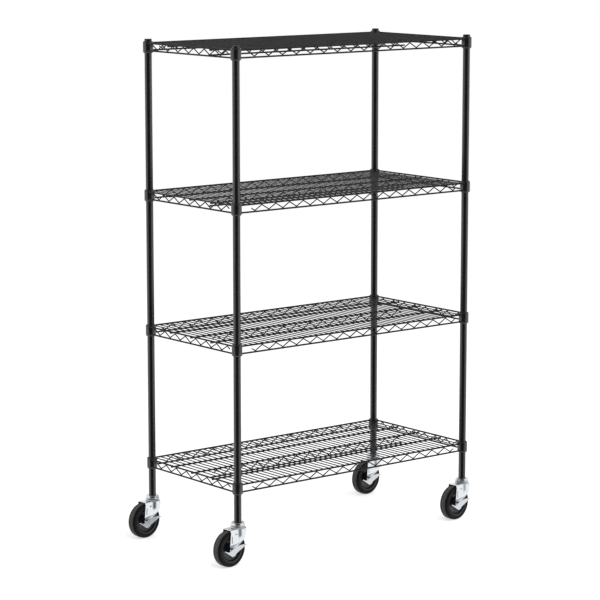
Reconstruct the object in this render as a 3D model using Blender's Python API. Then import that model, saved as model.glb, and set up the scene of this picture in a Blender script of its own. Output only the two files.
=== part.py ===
"""Four-shelf wire cart on braked swivel casters.

Metres, +Z up, +X along the shelves, -Y to the front. The origin lies on the floor in the middle of
the four wheel contacts. Every wire of a shelf is welded into one solid, which slides over tapered
sleeves on four round posts; a stem caster closes the foot of each post and a cap its head.
"""

import math

import bmesh
import bpy
from mathutils import Matrix, Vector

# Fits
GAP = 0.0003
WELD_DEPTH = 0.001

# Facets of the round pieces
POST_SIDES = 8
WHEEL_SIDES = 18
SWIVEL_SIDES = 10
PIN_SIDES = 8
NUT_SIDES = 6
FORK_BOSS_STEPS = 4
FORK_CROWN_STEPS = 8
SMOOTH_BELOW = math.radians(50)
FLAT_BELOW = math.radians(0.1)
SAME_POINT = 1e-7

# Posts and caps
POST_DIAMETER = 0.0254
POST_WALL = 0.0014
POST_LENGTH = 1.611
CAP_DIAMETER = 0.0266
CAP_HEIGHT = 0.003
CAP_TAPER = 0.0012
CAP_PLUG_LENGTH = 0.014

# Shelf layout
SHELF_LENGTH = 1.0668
SHELF_DEPTH = 0.5334
TOP_DECK_DROP = 0.0083
SHELF_SPACING = 0.47625
BOTTOM_DECK_RISE = 0.13585

# Shelf collars and the split sleeves inside them
COLLAR_DIAMETER = 0.036
COLLAR_RISE = 0.0026
COLLAR_DROP = 0.0045
SLEEVE_WALL_TOP = 0.0021
SLEEVE_WALL_FOOT = 0.0029
SLEEVE_SHOW = 0.0012
SLEEVE_SLIT = 0.0016

# Shelf wires
RAIL_WIRE = 0.006
DECK_WIRE = 0.0034
RIB_WIRE = 0.006
ZIGZAG_WIRE = 0.004
TRUSS_HEIGHT = 0.0312
TRUSS_OFFSET = 0.0107
DECK_DROP = 0.0017
DECK_PITCH = 0.0236
RIB_PITCH = 0.119
ZIGZAG_PITCH = 0.0595
ZIGZAG_SETBACK = 0.055
SIDE_ZIGZAG_SETBACK = 0.040
KEEL_SETBACK = 0.085
KEEL_DEPTH = 0.0271

# Caster wheel
WHEEL_DIAMETER = 0.127
TYRE_WIDTH = 0.032
TYRE_SHOULDER_WIDTH = 0.004
TYRE_SHOULDER_DROP = 0.004
TYRE_BEAD_DIAMETER = 0.090
RIM_WIDTH = 0.027
RIM_WALL = 0.005
WEB_THICKNESS = 0.012
HUB_DIAMETER = 0.030
HUB_LENGTH = 0.036

# Caster fork
CASTER_TRAIL = 0.041
CASTER_YAW = math.radians(6.0)
FORK_WALL = 0.0028
FORK_TAIL = 0.052
FORK_CROWN_DIAMETER = 0.054
FORK_NOSE_SKIRT = 0.0165
FORK_BOSS_DIAMETER = 0.030
FORK_FRONT_LEAVES_BOSS = math.radians(-45)
WHEEL_CLEARANCE = 0.0025
RACE_DIAMETER = 0.046
RACE_HEIGHT = 0.005
CUP_DIAMETER = 0.0495
CUP_HEIGHT = 0.0084
CUP_SHOULDER = 0.004

# Caster pins
AXLE_DIAMETER = 0.008
AXLE_NUT_WIDTH = 0.0155
AXLE_NUT_HEIGHT = 0.0065
KINGPIN_DIAMETER = 0.012
KINGPIN_HEAD_DIAMETER = 0.019
KINGPIN_HEAD_HEIGHT = 0.0035
STEM_LENGTH = 0.060

# Brake pedal
PEDAL_THICKNESS = 0.0026
PEDAL_TILT = math.radians(24.0)
PEDAL_STANDOFF = 0.0145
PEDAL_BOSS_DIAMETER = 0.017
PEDAL_TOE_REACH = 0.0425
PEDAL_TOE_RISE = 0.0158
PEDAL_BROW_REACH = 0.0305
PEDAL_BROW_RISE = 0.0203
PEDAL_NAPE_REACH = 0.0005
PEDAL_NAPE_RISE = 0.0158
PEDAL_KNEE_REACH = 0.0255
PEDAL_KNEE_DROP = 0.0172
PEDAL_HEEL_REACH = 0.0605
PEDAL_HEEL_RISE = 0.0068
PEDAL_WAIST_REACH = 0.0395
PEDAL_WAIST_DROP = 0.0022

# Directions
X = Vector((1, 0, 0))
Y = Vector((0, 1, 0))
Z = Vector((0, 0, 1))

# Derived radii
post_radius = POST_DIAMETER / 2
post_bore = post_radius - POST_WALL
sleeve_bore = post_radius + GAP
sleeve_top_radius = sleeve_bore + SLEEVE_WALL_TOP
sleeve_foot_radius = sleeve_bore + SLEEVE_WALL_FOOT
wheel_radius = WHEEL_DIAMETER / 2
axle_radius = AXLE_DIAMETER / 2
kingpin_radius = KINGPIN_DIAMETER / 2

# Derived heights above the floor; the wheels stand on a flat facet
axle_height = wheel_radius * math.cos(math.pi / WHEEL_SIDES)
fork_top = axle_height + wheel_radius + WHEEL_CLEARANCE + FORK_WALL
cup_foot = fork_top + RACE_HEIGHT + GAP
post_foot = cup_foot + CUP_HEIGHT + GAP
post_head = post_foot + POST_LENGTH

# Derived plan positions
span_x = SHELF_LENGTH - COLLAR_DIAMETER
span_y = SHELF_DEPTH - COLLAR_DIAMETER
fork_inside = HUB_LENGTH / 2 + GAP
fork_outside = fork_inside + FORK_WALL
CORNERS = {
    "front_left": (-span_x / 2, -span_y / 2),
    "front_right": (span_x / 2, -span_y / 2),
    "back_left": (-span_x / 2, span_y / 2),
    "back_right": (span_x / 2, span_y / 2),
}


def running_bore(radius, sides):
    """Corner radius of a faceted bore in which a pin of this radius can turn."""
    return (radius + GAP) / math.cos(math.pi / sides)


def clear_scene():
    """Empty the scene."""
    for old in list(bpy.data.objects):
        bpy.data.objects.remove(old, do_unlink=True)


def make_material(name, colour, roughness, metallic):
    """Make a Principled material."""
    material = bpy.data.materials.new(name)
    material.use_nodes = True
    shader = material.node_tree.nodes["Principled BSDF"]
    shader.inputs["Base Color"].default_value = (*colour, 1.0)
    shader.inputs["Roughness"].default_value = roughness
    shader.inputs["Metallic"].default_value = metallic
    return material


def make_empty(name, parent=None, location=(0, 0, 0), turn=0.0):
    """Make an empty that carries other objects, turned about Z."""
    empty = bpy.data.objects.new(name, None)
    empty.location = location
    empty.rotation_euler = (0, 0, turn)
    empty.parent = parent
    bpy.context.collection.objects.link(empty)
    return empty


def place(name, mesh, material, parent, location=(0, 0, 0), rotation=(0, 0, 0)):
    """Put a named object with this mesh under a parent."""
    thing = bpy.data.objects.new(name, mesh)
    if not mesh.materials:
        mesh.materials.append(material)
    thing.location = location
    thing.rotation_euler = rotation
    thing.parent = parent
    bpy.context.collection.objects.link(thing)
    return thing


def finish_mesh(name, bm):
    """Close a bmesh into a mesh with outward faces, smooth across shallow edges."""
    bmesh.ops.remove_doubles(bm, verts=bm.verts, dist=SAME_POINT)
    bmesh.ops.recalc_face_normals(bm, faces=bm.faces)
    mesh = bpy.data.meshes.new(name)
    bm.to_mesh(mesh)
    bm.free()
    mesh.shade_smooth()
    mesh.set_sharp_from_angle(angle=SMOOTH_BELOW)
    return mesh


def add_ring(bm, radius, height, angles):
    """Add one ring of vertices about the Z axis."""
    return [bm.verts.new((radius * math.cos(a), radius * math.sin(a), height)) for a in angles]


def add_turned(bm, profile, sides, hollow):
    """Revolve (radius, height) points about Z: a closed loop if hollow, else capped at both ends."""
    angles = [2 * math.pi * (i + 0.5) / sides for i in range(sides)]
    rings = [add_ring(bm, radius, height, angles) for radius, height in profile]
    pairs = list(zip(rings, rings[1:]))
    if hollow:
        pairs.append((rings[-1], rings[0]))
    else:
        bm.faces.new(rings[0])
        bm.faces.new(rings[-1])
    for lower, upper in pairs:
        for i in range(sides):
            j = (i + 1) % sides
            bm.faces.new((lower[i], lower[j], upper[j], upper[i]))


def turned_mesh(name, profile, sides, hollow=False):
    """Make a mesh of revolution about Z."""
    bm = bmesh.new()
    add_turned(bm, profile, sides, hollow)
    return finish_mesh(name, bm)


def add_box(bm, low, high):
    """Add an upright box between two corners."""
    size = Vector(high) - Vector(low)
    middle = (Vector(high) + Vector(low)) / 2
    bmesh.ops.create_cube(bm, size=1.0, matrix=Matrix.Translation(middle) @ Matrix.Diagonal((*size, 1)))


def add_prism(bm, outline, start, end, lift):
    """Extrude a plane outline between two offsets; lift turns (u, v, offset) into a point."""
    near = [bm.verts.new(lift(u, v, start)) for u, v in outline]
    far = [bm.verts.new(lift(u, v, end)) for u, v in outline]
    bm.faces.new(near)
    bm.faces.new(far)
    count = len(outline)
    for i in range(count):
        j = (i + 1) % count
        bm.faces.new((near[i], near[j], far[j], far[i]))


def prism_mesh(name, outline, start, end, lift):
    """Make a prism mesh."""
    bm = bmesh.new()
    add_prism(bm, outline, start, end, lift)
    return finish_mesh(name, bm)


def upright(u, v, offset):
    """Plan outlines: (x, y) extruded along Z."""
    return (u, v, offset)


def sideways(u, v, offset):
    """Side outlines: (x, z) extruded along Y."""
    return (u, offset, v)


def arc(centre, radius, start, end, steps):
    """Points along an arc in a plane."""
    turn = (end - start) / steps
    return [
        (centre[0] + radius * math.cos(start + i * turn), centre[1] + radius * math.sin(start + i * turn))
        for i in range(steps + 1)
    ]


def combine(name, base, steps):
    """Apply a list of (operation, mesh) Booleans to a base mesh and return the result."""
    body = bpy.data.objects.new(name, base)
    bpy.context.collection.objects.link(body)
    tools = []
    for operation, mesh in steps:
        tool = bpy.data.objects.new(mesh.name, mesh)
        bpy.context.collection.objects.link(tool)
        tools.append(tool)
        modifier = body.modifiers.new(mesh.name, "BOOLEAN")
        modifier.operation = operation
        modifier.solver = "EXACT"
        modifier.use_self = operation == "UNION"
        modifier.object = tool
    solid = bpy.data.meshes.new_from_object(body.evaluated_get(bpy.context.evaluated_depsgraph_get()))
    for used in [body, *tools]:
        bpy.data.objects.remove(used, do_unlink=True)
    bm = bmesh.new()
    bm.from_mesh(solid)
    bmesh.ops.dissolve_limit(bm, angle_limit=FLAT_BELOW, verts=bm.verts, edges=bm.edges)
    return finish_mesh(name, bm)


def mitred(points, offset):
    """Move a plane polyline sideways, keeping its corners mitred."""
    moved = []
    for i, point in enumerate(points):
        before = (point - points[i - 1]).normalized() if i else None
        after = (points[i + 1] - point).normalized() if i + 1 < len(points) else None
        before, after = before or after, after or before
        bisector = (before + after).normalized()
        stretch = offset / bisector.dot(after)
        moved.append(point + stretch * Vector((-bisector.y, bisector.x)))
    return moved


def zigzag_line(run, low, high, starts_high, welds):
    """Centre line of a zigzag wire between two rails, centred on zero, with a free half leg at each end.

    The corners nest between the rails a gap away; the first and last `welds` corners run into them.
    """
    half = ZIGZAG_PITCH / 2
    legs = int(run / half)
    middle = (low + high) / 2
    nested = math.atan2(high - low - ZIGZAG_WIRE, half)
    corner = ZIGZAG_WIRE / 2 / math.cos(nested)
    points = [Vector((-(legs + 1) * half / 2, middle))]
    for i in range(legs + 1):
        into = WELD_DEPTH if min(i, legs - i) < welds else -GAP
        reach = (high - low) / 2 - corner + into
        rise = reach if bool(i % 2) != starts_high else -reach
        points.append(Vector(((i - legs / 2) * half, middle + rise)))
    points.append(Vector(((legs + 1) * half / 2, middle)))
    return points


def add_wire(bm, line, thickness, depth, axes):
    """Sweep a three-sided wire along a plane line.

    The axes are the line's two directions and the way its flat side faces, `depth` out of the plane.
    """
    along, across, outward = axes
    half = thickness / 2
    edges = [
        (mitred(line, half), depth + half),
        (mitred(line, -half), depth + half),
        (line, depth - half),
    ]
    strands = [
        [bm.verts.new(along * p.x + across * p.y + outward * offset) for p in points]
        for points, offset in edges
    ]
    for one, two in zip(strands, strands[1:] + strands[:1]):
        for i in range(len(line) - 1):
            bm.faces.new((one[i], one[i + 1], two[i + 1], two[i]))
    bm.faces.new([strand[0] for strand in strands])
    bm.faces.new([strand[-1] for strand in strands])


def add_deck(bm):
    """Front and back top rails with the cross wires between them; the deck top is at zero."""
    rail_y = span_y / 2 + TRUSS_OFFSET
    half = RAIL_WIRE / 2
    for side in (-1, 1):
        y = side * rail_y
        add_box(bm, (-span_x / 2, y - half, -RAIL_WIRE), (span_x / 2, y + half, 0))
    inside = span_x + 2 * TRUSS_OFFSET - RAIL_WIRE
    count = int(inside / DECK_PITCH) - 1
    reach = rail_y - half + WELD_DEPTH
    for i in range(count):
        x = (i - (count - 1) / 2) * DECK_PITCH
        line = [Vector((-reach, x)), Vector((reach, x))]
        add_wire(bm, line, DECK_WIRE, -DECK_DROP - DECK_WIRE / 2, (Y, X, Z))


def add_side_rails(bm):
    """Top rails of the two short sides."""
    half = RAIL_WIRE / 2
    for side in (-1, 1):
        x = side * (span_x / 2 + TRUSS_OFFSET)
        add_box(bm, (x - half, -span_y / 2, -RAIL_WIRE), (x + half, span_y / 2, 0))


def add_perimeter_trusses(bm):
    """Bottom rails and zigzags under the four top rails."""
    half = RAIL_WIRE / 2
    low = -TRUSS_HEIGHT + RAIL_WIRE
    for along, outward, span, other_span, setback, starts_high in (
        (X, Y, span_x, span_y, ZIGZAG_SETBACK, False),
        (Y, X, span_y, span_x, SIDE_ZIGZAG_SETBACK, True),
    ):
        offset = other_span / 2 + TRUSS_OFFSET
        line = zigzag_line(span - 2 * setback, low, -RAIL_WIRE, starts_high, welds=1)
        for side in (-1, 1):
            start = along * (-span / 2) + side * outward * (offset - half)
            end = along * (span / 2) + side * outward * (offset + half)
            corners = [sorted(pair) for pair in zip(start, end)]
            add_box(bm, (corners[0][0], corners[1][0], -TRUSS_HEIGHT), (corners[0][1], corners[1][1], low))
            add_wire(bm, line, ZIGZAG_WIRE, offset, (side * along, Z, side * outward))


def add_ribs(bm):
    """Lengthwise wires under the cross wires; the middle one is the top of a shorter truss."""
    half = RIB_WIRE / 2
    top = -DECK_DROP - DECK_WIRE - GAP
    reach = span_x / 2 + TRUSS_OFFSET - RAIL_WIRE / 2 + WELD_DEPTH
    for place_y in (-RIB_PITCH, 0, RIB_PITCH):
        add_box(bm, (-reach, place_y - half, top - RIB_WIRE), (reach, place_y + half, top))
    keel_top = top - KEEL_DEPTH
    keel_reach = span_x / 2 + TRUSS_OFFSET - KEEL_SETBACK
    add_box(bm, (-keel_reach, -half, keel_top - RIB_WIRE), (keel_reach, half, keel_top))
    run = 2 * keel_reach - ZIGZAG_PITCH / 2
    line = zigzag_line(run, keel_top, top - RIB_WIRE, starts_high=True, welds=2)
    add_wire(bm, line, ZIGZAG_WIRE, 0, (X, Z, -Y))


def add_corner_cones(bm, top_radius, foot_radius, top, foot):
    """Add an upright cone frustum at each post."""
    for x, y in CORNERS.values():
        start = len(bm.verts)
        add_turned(bm, [(foot_radius, foot), (top_radius, top)], POST_SIDES, hollow=False)
        bm.verts.ensure_lookup_table()
        bmesh.ops.translate(bm, verts=bm.verts[start:], vec=(x, y, 0))


def shelf_mesh():
    """One welded shelf: deck, trusses and ribs joined to four tapered collars."""
    wires = bmesh.new()
    add_deck(wires)
    add_side_rails(wires)
    add_perimeter_trusses(wires)
    add_ribs(wires)
    collars = bmesh.new()
    radius = COLLAR_DIAMETER / 2
    foot = -TRUSS_HEIGHT - COLLAR_DROP
    add_corner_cones(collars, radius, radius, COLLAR_RISE, foot)
    bores = bmesh.new()
    past = SLEEVE_SHOW
    add_corner_cones(bores, sleeve_top_radius + GAP, sleeve_foot_radius + GAP, COLLAR_RISE + past, foot - past)
    return combine(
        "shelf",
        finish_mesh("wires", wires),
        [("UNION", finish_mesh("collars", collars)), ("DIFFERENCE", finish_mesh("bores", bores))],
    )


def sleeve_mesh():
    """A tapered sleeve round the post, split down one corner; the deck top is at zero."""
    top = COLLAR_RISE + SLEEVE_SHOW
    foot = -TRUSS_HEIGHT - COLLAR_DROP - SLEEVE_SHOW
    step = 2 * math.pi / POST_SIDES
    slit = SLEEVE_SLIT / 2 / sleeve_bore
    on_flat = math.cos(step / 2) / math.cos(step / 2 - slit)
    spokes = [(step / 2 + slit, on_flat)]
    spokes += [(step * (i + 1.5), 1) for i in range(POST_SIDES - 1)]
    spokes.append((step / 2 - slit, on_flat))
    bm = bmesh.new()
    corners = [
        (sleeve_bore, foot),
        (sleeve_foot_radius, foot),
        (sleeve_top_radius, top),
        (sleeve_bore, top),
    ]
    rings = [
        [bm.verts.new((radius * k * math.cos(a), radius * k * math.sin(a), height)) for a, k in spokes]
        for radius, height in corners
    ]
    for one, two in zip(rings, rings[1:] + rings[:1]):
        for i in range(POST_SIDES):
            bm.faces.new((one[i], one[i + 1], two[i + 1], two[i]))
    bm.faces.new([ring[0] for ring in rings])
    bm.faces.new([ring[-1] for ring in rings])
    return finish_mesh("sleeve", bm)


def post_mesh():
    """A round tube standing on zero."""
    outline = [(post_radius, 0), (post_radius, POST_LENGTH), (post_bore, POST_LENGTH), (post_bore, 0)]
    return turned_mesh("post", outline, POST_SIDES, hollow=True)


def cap_mesh():
    """A flat cap with a plug; the top of the tube is at zero."""
    plug = post_bore - GAP
    rim = CAP_DIAMETER / 2
    outline = [
        (plug, -CAP_PLUG_LENGTH),
        (plug, GAP),
        (rim, GAP),
        (rim - CAP_TAPER, CAP_HEIGHT),
    ]
    return turned_mesh("cap", outline, POST_SIDES)


def stem_mesh():
    """Caster stem: riveted head under the fork, kingpin, and the plug that fills the post's foot."""
    head_top = fork_top - FORK_WALL - GAP
    head = KINGPIN_HEAD_DIAMETER / 2
    plug = post_bore - GAP
    outline = [
        (head, head_top - KINGPIN_HEAD_HEIGHT),
        (head, head_top),
        (kingpin_radius, head_top),
        (kingpin_radius, post_foot),
        (plug, post_foot),
        (plug, post_foot + STEM_LENGTH),
    ]
    return turned_mesh("stem", outline, POST_SIDES)


def cup_mesh():
    """Upper swivel race: a shouldered cup between the fork and the foot of the post."""
    rim = CUP_DIAMETER / 2
    top = cup_foot + CUP_HEIGHT
    bore = running_bore(kingpin_radius, SWIVEL_SIDES)
    outline = [
        (bore, cup_foot),
        (rim, cup_foot),
        (rim, top - CUP_SHOULDER),
        (rim - CUP_SHOULDER, top),
        (bore, top),
    ]
    return turned_mesh("cup", outline, SWIVEL_SIDES, hollow=True)


def fork_plan(inset, tail):
    """Plan of the fork, drawn in by an inset: straight legs that run into a round crown."""
    half_width = fork_outside - inset
    radius = FORK_CROWN_DIAMETER / 2 - inset
    meets_leg = math.pi - math.asin(half_width / radius)
    crown = arc((0, 0), radius, -meets_leg, meets_leg, FORK_CROWN_STEPS)
    return [(-tail, -half_width), *crown, (-tail, half_width)]


def fork_side():
    """Side view of the fork: from the top plate down round the axle boss and up to the nose."""
    boss = FORK_BOSS_DIAMETER / 2
    above = fork_top + RACE_HEIGHT
    nose = FORK_CROWN_DIAMETER / 2 + FORK_WALL
    foot = arc((-CASTER_TRAIL, axle_height), boss, -math.pi, FORK_FRONT_LEAVES_BOSS, FORK_BOSS_STEPS)
    return [(-FORK_TAIL, above), *foot, (nose, fork_top - FORK_NOSE_SKIRT), (nose, above)]


def fork_mesh():
    """Stamped fork: a top plate and two legs joined by a round crown, open at the back and below."""
    tail = FORK_TAIL + FORK_BOSS_DIAMETER
    low = axle_height - FORK_BOSS_DIAMETER
    shell = prism_mesh("fork_shell", fork_plan(0, tail), low, fork_top, upright)
    hollow = fork_plan(FORK_WALL, tail + FORK_WALL)
    inside = prism_mesh("fork_inside", hollow, low - FORK_WALL, fork_top - FORK_WALL, upright)
    wide = FORK_CROWN_DIAMETER / 2 + FORK_WALL
    side = prism_mesh("fork_side", fork_side(), -wide, wide, sideways)
    race_radius = RACE_DIAMETER / 2
    race_outline = [
        (race_radius, fork_top - FORK_WALL / 2),
        (race_radius, fork_top + RACE_HEIGHT),
    ]
    race = turned_mesh("race", race_outline, SWIVEL_SIDES)
    pins = bmesh.new()
    axle_hole = axle_radius + GAP
    kingpin_hole = running_bore(kingpin_radius, SWIVEL_SIDES)
    add_turned(pins, [(axle_hole, -wide), (axle_hole, wide)], PIN_SIDES, hollow=False)
    lay_down = Matrix.Translation((-CASTER_TRAIL, 0, axle_height)) @ Matrix.Rotation(math.pi / 2, 4, "X")
    bmesh.ops.transform(pins, matrix=lay_down, verts=pins.verts)
    below = fork_top - 2 * FORK_WALL
    above = fork_top + RACE_HEIGHT + FORK_WALL
    add_turned(pins, [(kingpin_hole, below), (kingpin_hole, above)], SWIVEL_SIDES, hollow=False)
    return combine(
        "fork",
        shell,
        [
            ("DIFFERENCE", inside),
            ("INTERSECT", side),
            ("UNION", race),
            ("DIFFERENCE", finish_mesh("pins", pins)),
        ],
    )


def hub_mesh():
    """Dished wheel core about Z, with its axle bore."""
    rim = TYRE_BEAD_DIAMETER / 2 - GAP
    well = rim - RIM_WALL
    hub = HUB_DIAMETER / 2
    half_hub = HUB_LENGTH / 2
    half_rim = RIM_WIDTH / 2
    half_web = WEB_THICKNESS / 2
    bore = running_bore(axle_radius, WHEEL_SIDES)
    face = [(bore, half_hub), (hub, half_hub), (well, half_web), (well, half_rim), (rim, half_rim)]
    back = [(radius, -height) for radius, height in reversed(face)]
    return turned_mesh("hub", face + back, WHEEL_SIDES, hollow=True)


def tyre_mesh():
    """Rubber tyre about Z with a crowned tread and sloping shoulders."""
    bead = TYRE_BEAD_DIAMETER / 2
    half = TYRE_WIDTH / 2
    face = [
        (bead, half),
        (wheel_radius - TYRE_SHOULDER_DROP, half),
        (wheel_radius, half - TYRE_SHOULDER_WIDTH),
    ]
    back = [(radius, -height) for radius, height in reversed(face)]
    return turned_mesh("tyre", face + back, WHEEL_SIDES, hollow=True)


def axle_mesh():
    """Axle bolt about Z: its head end lies in the pedal boss, its thread end takes the nut."""
    front = fork_outside + GAP + PEDAL_STANDOFF - PEDAL_THICKNESS - GAP
    back = -(fork_outside + GAP + AXLE_NUT_HEIGHT)
    return turned_mesh("axle", [(axle_radius, back), (axle_radius, front)], PIN_SIDES)


def nut_mesh():
    """Hexagon nut about Z behind the back leg."""
    seat = -(fork_outside + GAP)
    corner = AXLE_NUT_WIDTH / 2 / math.cos(math.pi / NUT_SIDES)
    bore = running_bore(axle_radius, NUT_SIDES)
    outline = [(bore, seat), (corner, seat), (corner, seat - AXLE_NUT_HEIGHT), (bore, seat - AXLE_NUT_HEIGHT)]
    return turned_mesh("nut", outline, NUT_SIDES, hollow=True)


def pedal_mesh():
    """Rocker brake pedal about the axle: a leaning two-winged plate on a boss; local -Y is outward."""
    outline = [
        (PEDAL_NAPE_REACH, PEDAL_NAPE_RISE),
        (PEDAL_BROW_REACH, PEDAL_BROW_RISE),
        (PEDAL_TOE_REACH, PEDAL_TOE_RISE),
        (-PEDAL_KNEE_REACH, -PEDAL_KNEE_DROP),
        (-PEDAL_HEEL_REACH, PEDAL_HEEL_RISE),
        (-PEDAL_WAIST_REACH, -PEDAL_WAIST_DROP),
    ]
    face = fork_outside + GAP
    bm = bmesh.new()
    add_prism(bm, outline, -PEDAL_THICKNESS / 2, PEDAL_THICKNESS / 2, sideways)
    lean = Matrix.Translation((0, -face - PEDAL_STANDOFF, 0)) @ Matrix.Rotation(-PEDAL_TILT, 4, "X")
    bmesh.ops.transform(bm, matrix=lean, verts=bm.verts)
    lay_down = Matrix.Rotation(math.pi / 2, 4, "X")
    boss = bmesh.new()
    boss_radius = PEDAL_BOSS_DIAMETER / 2
    boss_end = face + PEDAL_STANDOFF - boss_radius * math.tan(PEDAL_TILT)
    add_turned(boss, [(boss_radius, face), (boss_radius, boss_end)], PIN_SIDES, hollow=False)
    bmesh.ops.transform(boss, matrix=lay_down, verts=boss.verts)
    bore = bmesh.new()
    bore_radius = running_bore(axle_radius, PIN_SIDES)
    depth = face + PEDAL_STANDOFF - PEDAL_THICKNESS
    add_turned(bore, [(bore_radius, fork_inside), (bore_radius, depth)], PIN_SIDES, hollow=False)
    bmesh.ops.transform(bore, matrix=lay_down, verts=bore.verts)
    return combine(
        "pedal",
        finish_mesh("pedal_plate", bm),
        [("UNION", finish_mesh("pedal_boss", boss)), ("DIFFERENCE", finish_mesh("pedal_bore", bore))],
    )


def deck_heights():
    """Heights of the shelf decks, top shelf first; the top space takes what the posts leave over."""
    lowest = post_foot + BOTTOM_DECK_RISE
    third = lowest + SHELF_SPACING
    second = third + SHELF_SPACING
    return [post_head - TOP_DECK_DROP, second, third, lowest]


def build_frame(cart, materials):
    """Posts, caps, shelves and the sleeves that hold them."""
    heights = deck_heights()
    shelf = shelf_mesh()
    sleeve = sleeve_mesh()
    post = post_mesh()
    cap = cap_mesh()
    for level, height in enumerate(heights, 1):
        place(f"shelf_{level}", shelf, materials["coated_wire"], cart, (0, 0, height))
    for corner, (x, y) in CORNERS.items():
        place(f"post_{corner}", post, materials["coated_tube"], cart, (x, y, post_foot))
        place(f"post_cap_{corner}", cap, materials["cap_plastic"], cart, (x, y, post_head))
        for level, height in enumerate(heights, 1):
            place(f"sleeve_{corner}_{level}", sleeve, materials["sleeve_plastic"], cart, (x, y, height))


def build_casters(cart, materials):
    """One swivel caster under each post, trailing to the left."""
    stem = stem_mesh()
    cup = cup_mesh()
    fork = fork_mesh()
    axle = axle_mesh()
    nut = nut_mesh()
    hub = hub_mesh()
    tyre = tyre_mesh()
    pedal = pedal_mesh()
    across = (math.pi / 2, 0, 0)
    facet_down = (math.pi / 2, math.pi / WHEEL_SIDES, 0)
    for corner, (x, y) in CORNERS.items():
        swivel = make_empty(f"swivel_{corner}", cart, (x, y, 0), CASTER_YAW)
        hinge = make_empty(f"axle_line_{corner}", swivel, (-CASTER_TRAIL, 0, axle_height))
        place(f"caster_stem_{corner}", stem, materials["zinc"], cart, (x, y, 0))
        place(f"swivel_cup_{corner}", cup, materials["zinc"], cart, (x, y, 0))
        place(f"fork_{corner}", fork, materials["zinc"], swivel)
        place(f"axle_bolt_{corner}", axle, materials["steel"], hinge, rotation=across)
        place(f"axle_nut_{corner}", nut, materials["steel"], hinge, rotation=across)
        place(f"wheel_hub_{corner}", hub, materials["hub_plastic"], hinge, rotation=facet_down)
        place(f"tyre_{corner}", tyre, materials["rubber"], hinge, rotation=facet_down)
        place(f"brake_pedal_{corner}", pedal, materials["zinc"], hinge)


def main():
    clear_scene()
    materials = {
        "coated_wire": make_material("coated_wire", (0.018, 0.018, 0.019), 0.34, 0.0),
        "coated_tube": make_material("coated_tube", (0.02, 0.02, 0.021), 0.28, 0.0),
        "cap_plastic": make_material("cap_plastic", (0.016, 0.016, 0.016), 0.5, 0.0),
        "sleeve_plastic": make_material("sleeve_plastic", (0.02, 0.02, 0.02), 0.55, 0.0),
        "zinc": make_material("zinc", (0.82, 0.84, 0.86), 0.22, 1.0),
        "steel": make_material("steel", (0.62, 0.63, 0.65), 0.3, 1.0),
        "hub_plastic": make_material("hub_plastic", (0.022, 0.026, 0.036), 0.42, 0.0),
        "rubber": make_material("rubber", (0.03, 0.029, 0.029), 0.62, 0.0),
    }
    wheel_middle = (CASTER_TRAIL * math.cos(CASTER_YAW), CASTER_TRAIL * math.sin(CASTER_YAW), 0)
    cart = make_empty("cart", location=wheel_middle)
    build_frame(cart, materials)
    build_casters(cart, materials)


main()
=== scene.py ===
"""Looks of the wire shelf cart: round welded wire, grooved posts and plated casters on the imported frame.

Metres, +Z up, -Y to the front. Every piece takes its place from the boxes of the CAD nodes.
"""

import math

import bmesh
import bpy
from mathutils import Matrix, Vector


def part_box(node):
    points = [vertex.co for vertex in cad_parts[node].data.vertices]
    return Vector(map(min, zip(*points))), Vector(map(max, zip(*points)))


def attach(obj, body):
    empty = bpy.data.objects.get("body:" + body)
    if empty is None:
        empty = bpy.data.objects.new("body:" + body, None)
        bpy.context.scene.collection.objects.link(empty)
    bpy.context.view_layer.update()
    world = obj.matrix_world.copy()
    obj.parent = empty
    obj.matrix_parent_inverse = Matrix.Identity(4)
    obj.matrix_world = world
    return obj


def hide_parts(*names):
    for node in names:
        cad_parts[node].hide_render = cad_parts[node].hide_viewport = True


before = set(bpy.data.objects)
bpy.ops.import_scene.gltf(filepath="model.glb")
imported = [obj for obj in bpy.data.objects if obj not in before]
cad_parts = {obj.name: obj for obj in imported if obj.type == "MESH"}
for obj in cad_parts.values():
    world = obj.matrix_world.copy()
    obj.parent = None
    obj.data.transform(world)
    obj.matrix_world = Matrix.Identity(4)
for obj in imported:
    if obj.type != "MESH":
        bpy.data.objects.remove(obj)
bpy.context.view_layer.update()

X = Vector((1, 0, 0))
Y = Vector((0, 1, 0))
Z = Vector((0, 0, 1))
CORNERS = ("front_left", "front_right", "back_left", "back_right")
LEVELS = (1, 2, 3, 4)
SMOOTH_BELOW = math.radians(38)
SAME_POINT = 1e-7
ARC_STEPS = 6

# Posts and caps
POST_RADIUS = 0.0127
POST_BORE = 0.0113
POST_SIDES = 40
POST_EASE_IN = 0.0004
POST_EASE_UP = 0.0005
GROOVE_PITCH = 0.0254
GROOVE_WIDTH = 0.0010
GROOVE_DEPTH = 0.0003
CAP_RADIUS = 0.0130
CAP_HEIGHT = 0.003
CAP_ROUND = 0.0018
CAP_PLUG_SLACK = 0.0003
CAP_PLUG_LENGTH = 0.014
CAP_PLUG_NOSE = 0.001
CAP_SEAT = 0.0003
CAP_EASE = 0.0003
CAP_CROWN = 0.0001
CAP_DISH_RADIUS = 0.0065
CAP_DISH_DEPTH = 0.0003
CAP_DISH_SLOPE = 0.0007
CAP_CORE = 0.0005

# Shelf collars and sleeves
COLLAR_RADIUS = 0.018
COLLAR_RISE = 0.0026
COLLAR_FOOT = -0.0357
COLLAR_SIDES = 40
SLEEVE_BORE = 0.01285
SLEEVE_TOP = 0.0038
SLEEVE_FOOT = -0.0374
SLEEVE_SLIT = math.radians(7)
SLEEVE_SLIT_AT = math.radians(22.5)

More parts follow.
